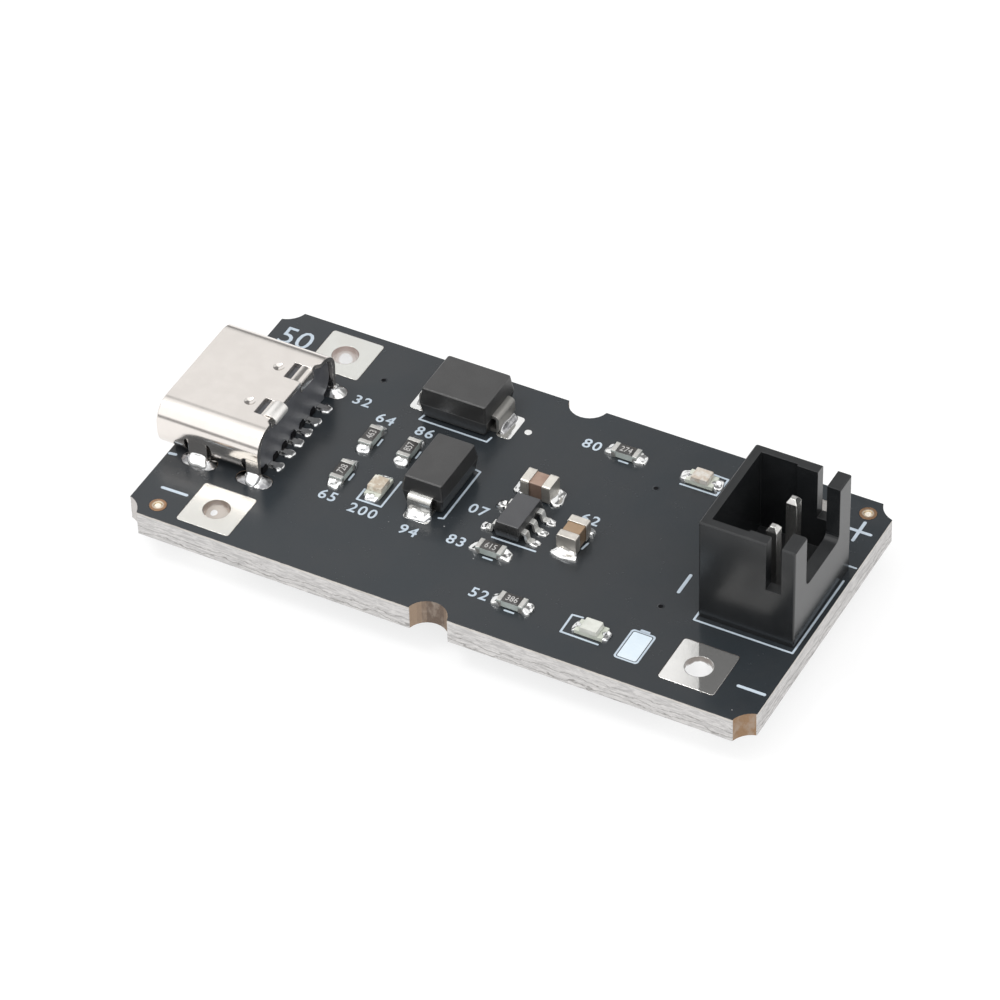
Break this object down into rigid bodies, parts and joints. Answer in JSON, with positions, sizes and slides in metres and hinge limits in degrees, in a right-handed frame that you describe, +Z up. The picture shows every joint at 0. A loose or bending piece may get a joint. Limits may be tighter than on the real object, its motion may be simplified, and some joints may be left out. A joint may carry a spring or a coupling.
{
  "type": "battery charger module",
  "caption": "Bare black circuit board that charges a lithium battery, with a USB-C socket at one end, a keyed battery header at the other, and wire pads, diodes, chip and lamps between.",
  "frame": {"origin": "middle of the circuit board's underside", "axes": "+X along the board from the USB-C socket towards the battery header, +Y across the board towards its positive wire pads, +Z up out of the face that carries the parts"},
  "size_m": [0.0397, 0.0192, 0.0103],
  "materials": {
    "lacquered_board": "satin dark lacquer over glass and epoxy, bare fibrous edges",
    "tinned_land": "dull tin plate",
    "copper_ring": "thinly tinned copper",
    "nickel_shell": "smooth nickel plate",
    "socket_moulding": "moulded",
    "gilt_contact": "gold flash, tinned foot",
    "header_moulding": "satin moulded",
    "tinned_pin": "bright tin plate",
    "solder": "bright solder",
    "moulding_compound": "fine matt",
    "tinned_lead": "tin plate",
    "capacitor_ceramic": "unglazed",
    "chip_end_metal": "tinned ends",
    "resistor_body": "dark glaze on a pale bar with tinned ends",
    "lamp_base": "pale laminate with plated ends",
    "lamp_lens": "cloudy clear resin"
  },
  "bodies": {
    "root": {"circuit_board": "lacquered_board", "input_pad_negative": "tinned_land", "input_pad_positive": "tinned_land", "battery_pad_negative": "tinned_land", "battery_pad_positive": "tinned_land", "ringed_hole_near": "copper_ring", "ringed_hole_far": "copper_ring", "usb_shell": "nickel_shell", "usb_moulding": "socket_moulding", "usb_contact_1": "gilt_contact", "usb_contact_2": "gilt_contact", "usb_contact_3": "gilt_contact", "usb_contact_4": "gilt_contact", "usb_contact_5": "gilt_contact", "usb_contact_6": "gilt_contact", "usb_solder_front_near": "solder", "usb_solder_front_far": "solder", "usb_solder_rear_near": "solder", "usb_solder_rear_far": "solder", "battery_header_housing": "header_moulding", "battery_header_pin_1": "tinned_pin", "battery_header_pin_2": "tinned_pin", "header_solder_1": "solder", "header_solder_2": "solder", "input_diode_body": "moulding_compound", "input_diode_lead_a": "tinned_lead", "input_diode_lead_b": "tinned_lead", "output_diode_body": "moulding_compound", "output_diode_lead_a": "tinned_lead", "output_diode_lead_b": "tinned_lead", "charger_chip_body": "moulding_compound", "charger_chip_lead_1": "tinned_lead", "charger_chip_lead_2": "tinned_lead", "charger_chip_lead_3": "tinned_lead", "charger_chip_lead_4": "tinned_lead", "charger_chip_lead_5": "tinned_lead", "input_capacitor_core": "capacitor_ceramic", "input_capacitor_end_a": "chip_end_metal", "input_capacitor_end_b": "chip_end_metal", "battery_capacitor_core": "capacitor_ceramic", "battery_capacitor_end_a": "chip_end_metal", "battery_capacitor_end_b": "chip_end_metal", "resistor_1": "resistor_body", "resistor_2": "resistor_body", "resistor_3": "resistor_body", "resistor_4": "resistor_body", "resistor_5": "resistor_body", "resistor_6": "resistor_body", "power_lamp_base": "lamp_base", "power_lamp_lens": "lamp_lens", "charging_lamp_base": "lamp_base", "charging_lamp_lens": "lamp_lens", "charged_lamp_base": "lamp_base", "charged_lamp_lens": "lamp_lens"}
  },
  "joints": []
}
